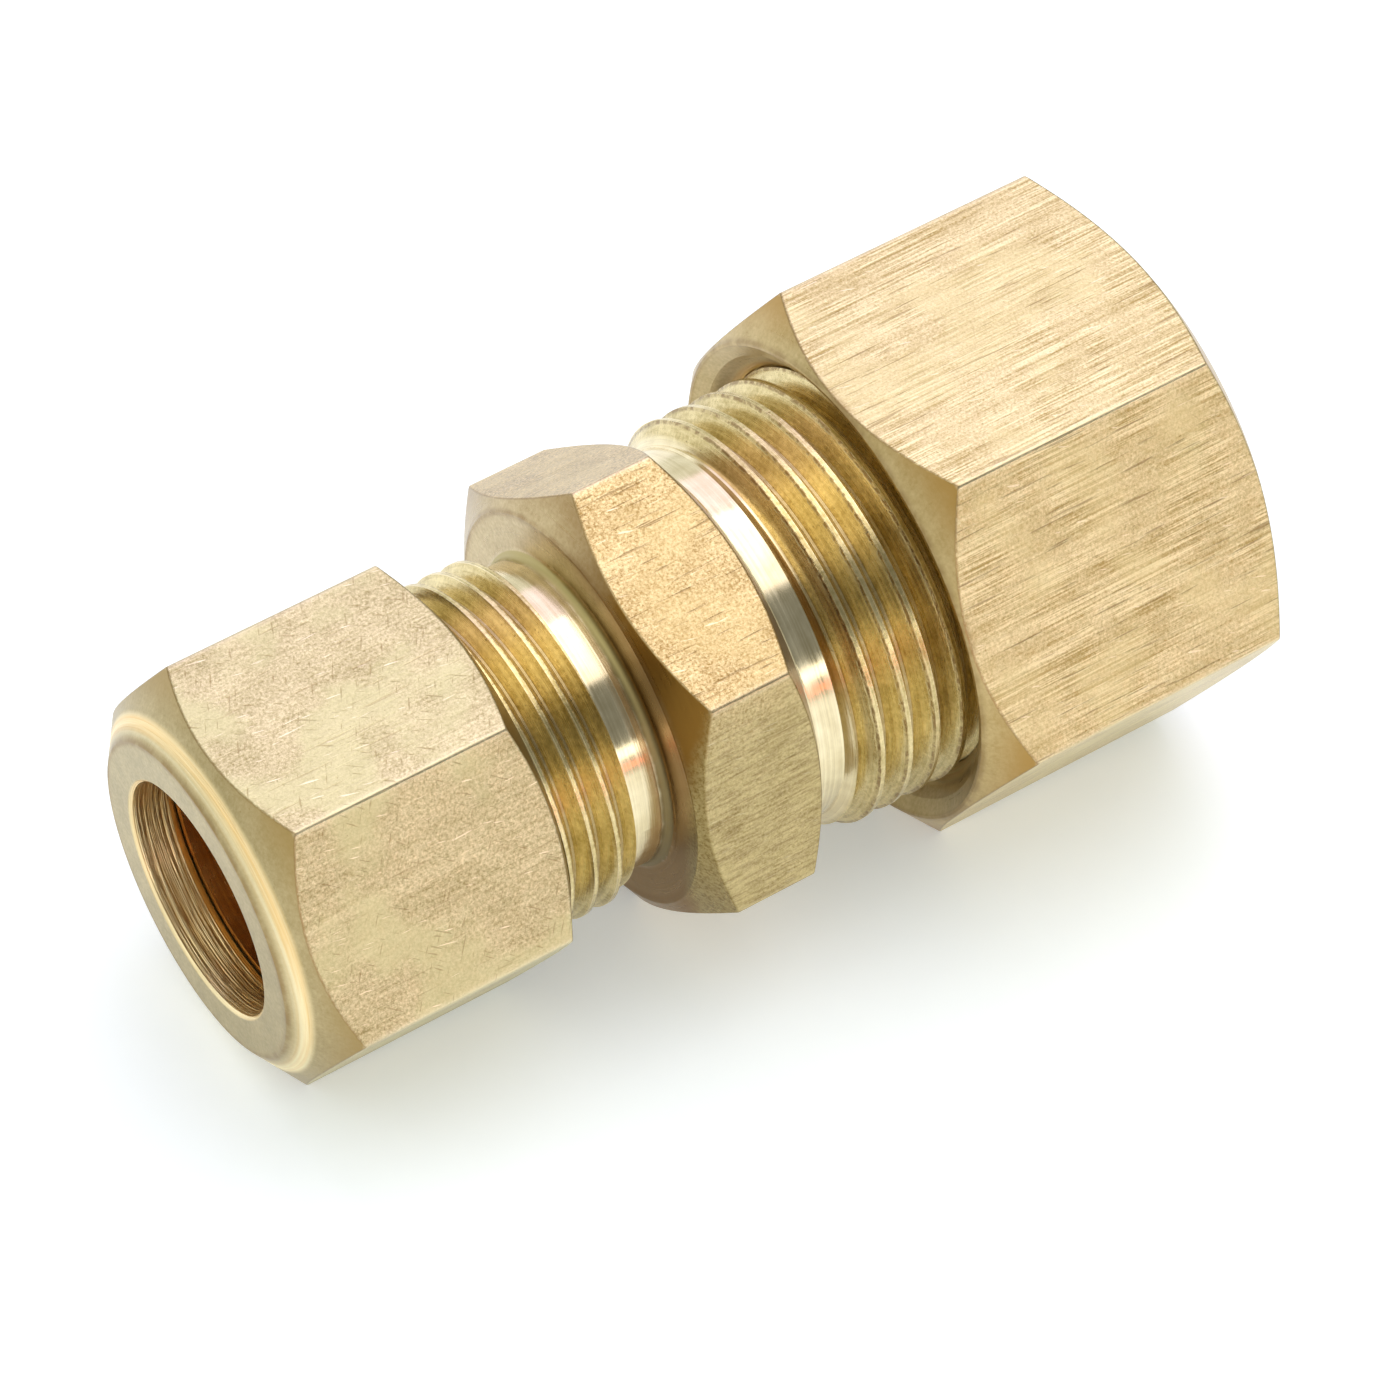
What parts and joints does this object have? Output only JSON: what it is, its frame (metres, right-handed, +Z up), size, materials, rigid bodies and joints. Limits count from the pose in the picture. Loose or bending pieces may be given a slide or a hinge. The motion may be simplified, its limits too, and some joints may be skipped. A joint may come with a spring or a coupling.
{
  "type": "compression fitting",
  "caption": "Straight reducing compression union: hexagonal brass body with threaded tube sockets, sleeves and hexagonal nuts for two tube sizes.",
  "frame": {"origin": "on the tube axis, half-way between the outer faces of the two nuts in the rest pose", "axes": "+X along the tubes towards the larger tube, +Z up with the large nut's flats level, +Y to the left seen from the small end's side, completing a right-handed frame"},
  "size_m": [0.0428, 0.0238, 0.0206],
  "materials": {
    "body_brass": "turned and drawn free-cutting brass, bare, fine axial streaks on the hexagon and ring marks on turned surfaces",
    "small_nut_brass": "bare drawn hexagonal bar with scratches and pits, turned ends",
    "large_nut_brass": "bare drawn hexagonal bar with long axial streaks, turned ends",
    "sleeve_brass": "turned soft brass, slightly darker"
  },
  "bodies": {
    "union_body": {"union_body": "body_brass"},
    "small_sleeve": {"small_sleeve": "sleeve_brass"},
    "large_sleeve": {"large_sleeve": "sleeve_brass"},
    "small_nut": {"small_nut": "small_nut_brass"},
    "large_nut": {"large_nut": "large_nut_brass"}
  },
  "joints": [
    {"name": "small_sleeve_slide", "type": "slide", "parent": "union_body", "child": "small_sleeve", "axis": [-1, 0, 0], "range_m": [-0.00168, 0.00318]},
    {"name": "small_nut_turn", "type": "hinge", "parent": "small_sleeve", "child": "small_nut", "pos_m": [-0.01052, 0, 0], "axis": [-1, 0, 0], "range_deg": [-570, 1080]},
    {"name": "large_sleeve_slide", "type": "slide", "parent": "union_body", "child": "large_sleeve", "axis": [1, 0, 0], "range_m": [-0.00201, 0.00381]},
    {"name": "large_nut_turn", "type": "hinge", "parent": "large_sleeve", "child": "large_nut", "pos_m": [0.00876, 0, 0], "axis": [1, 0, 0], "range_deg": [-570, 1080]}
  ],
  "couplings": [
    {"joint": "small_sleeve_slide", "follows": "small_nut_turn", "m_per_rad": 0.00016844},
    {"joint": "large_sleeve_slide", "follows": "large_nut_turn", "m_per_rad": 0.00020213}
  ]
}
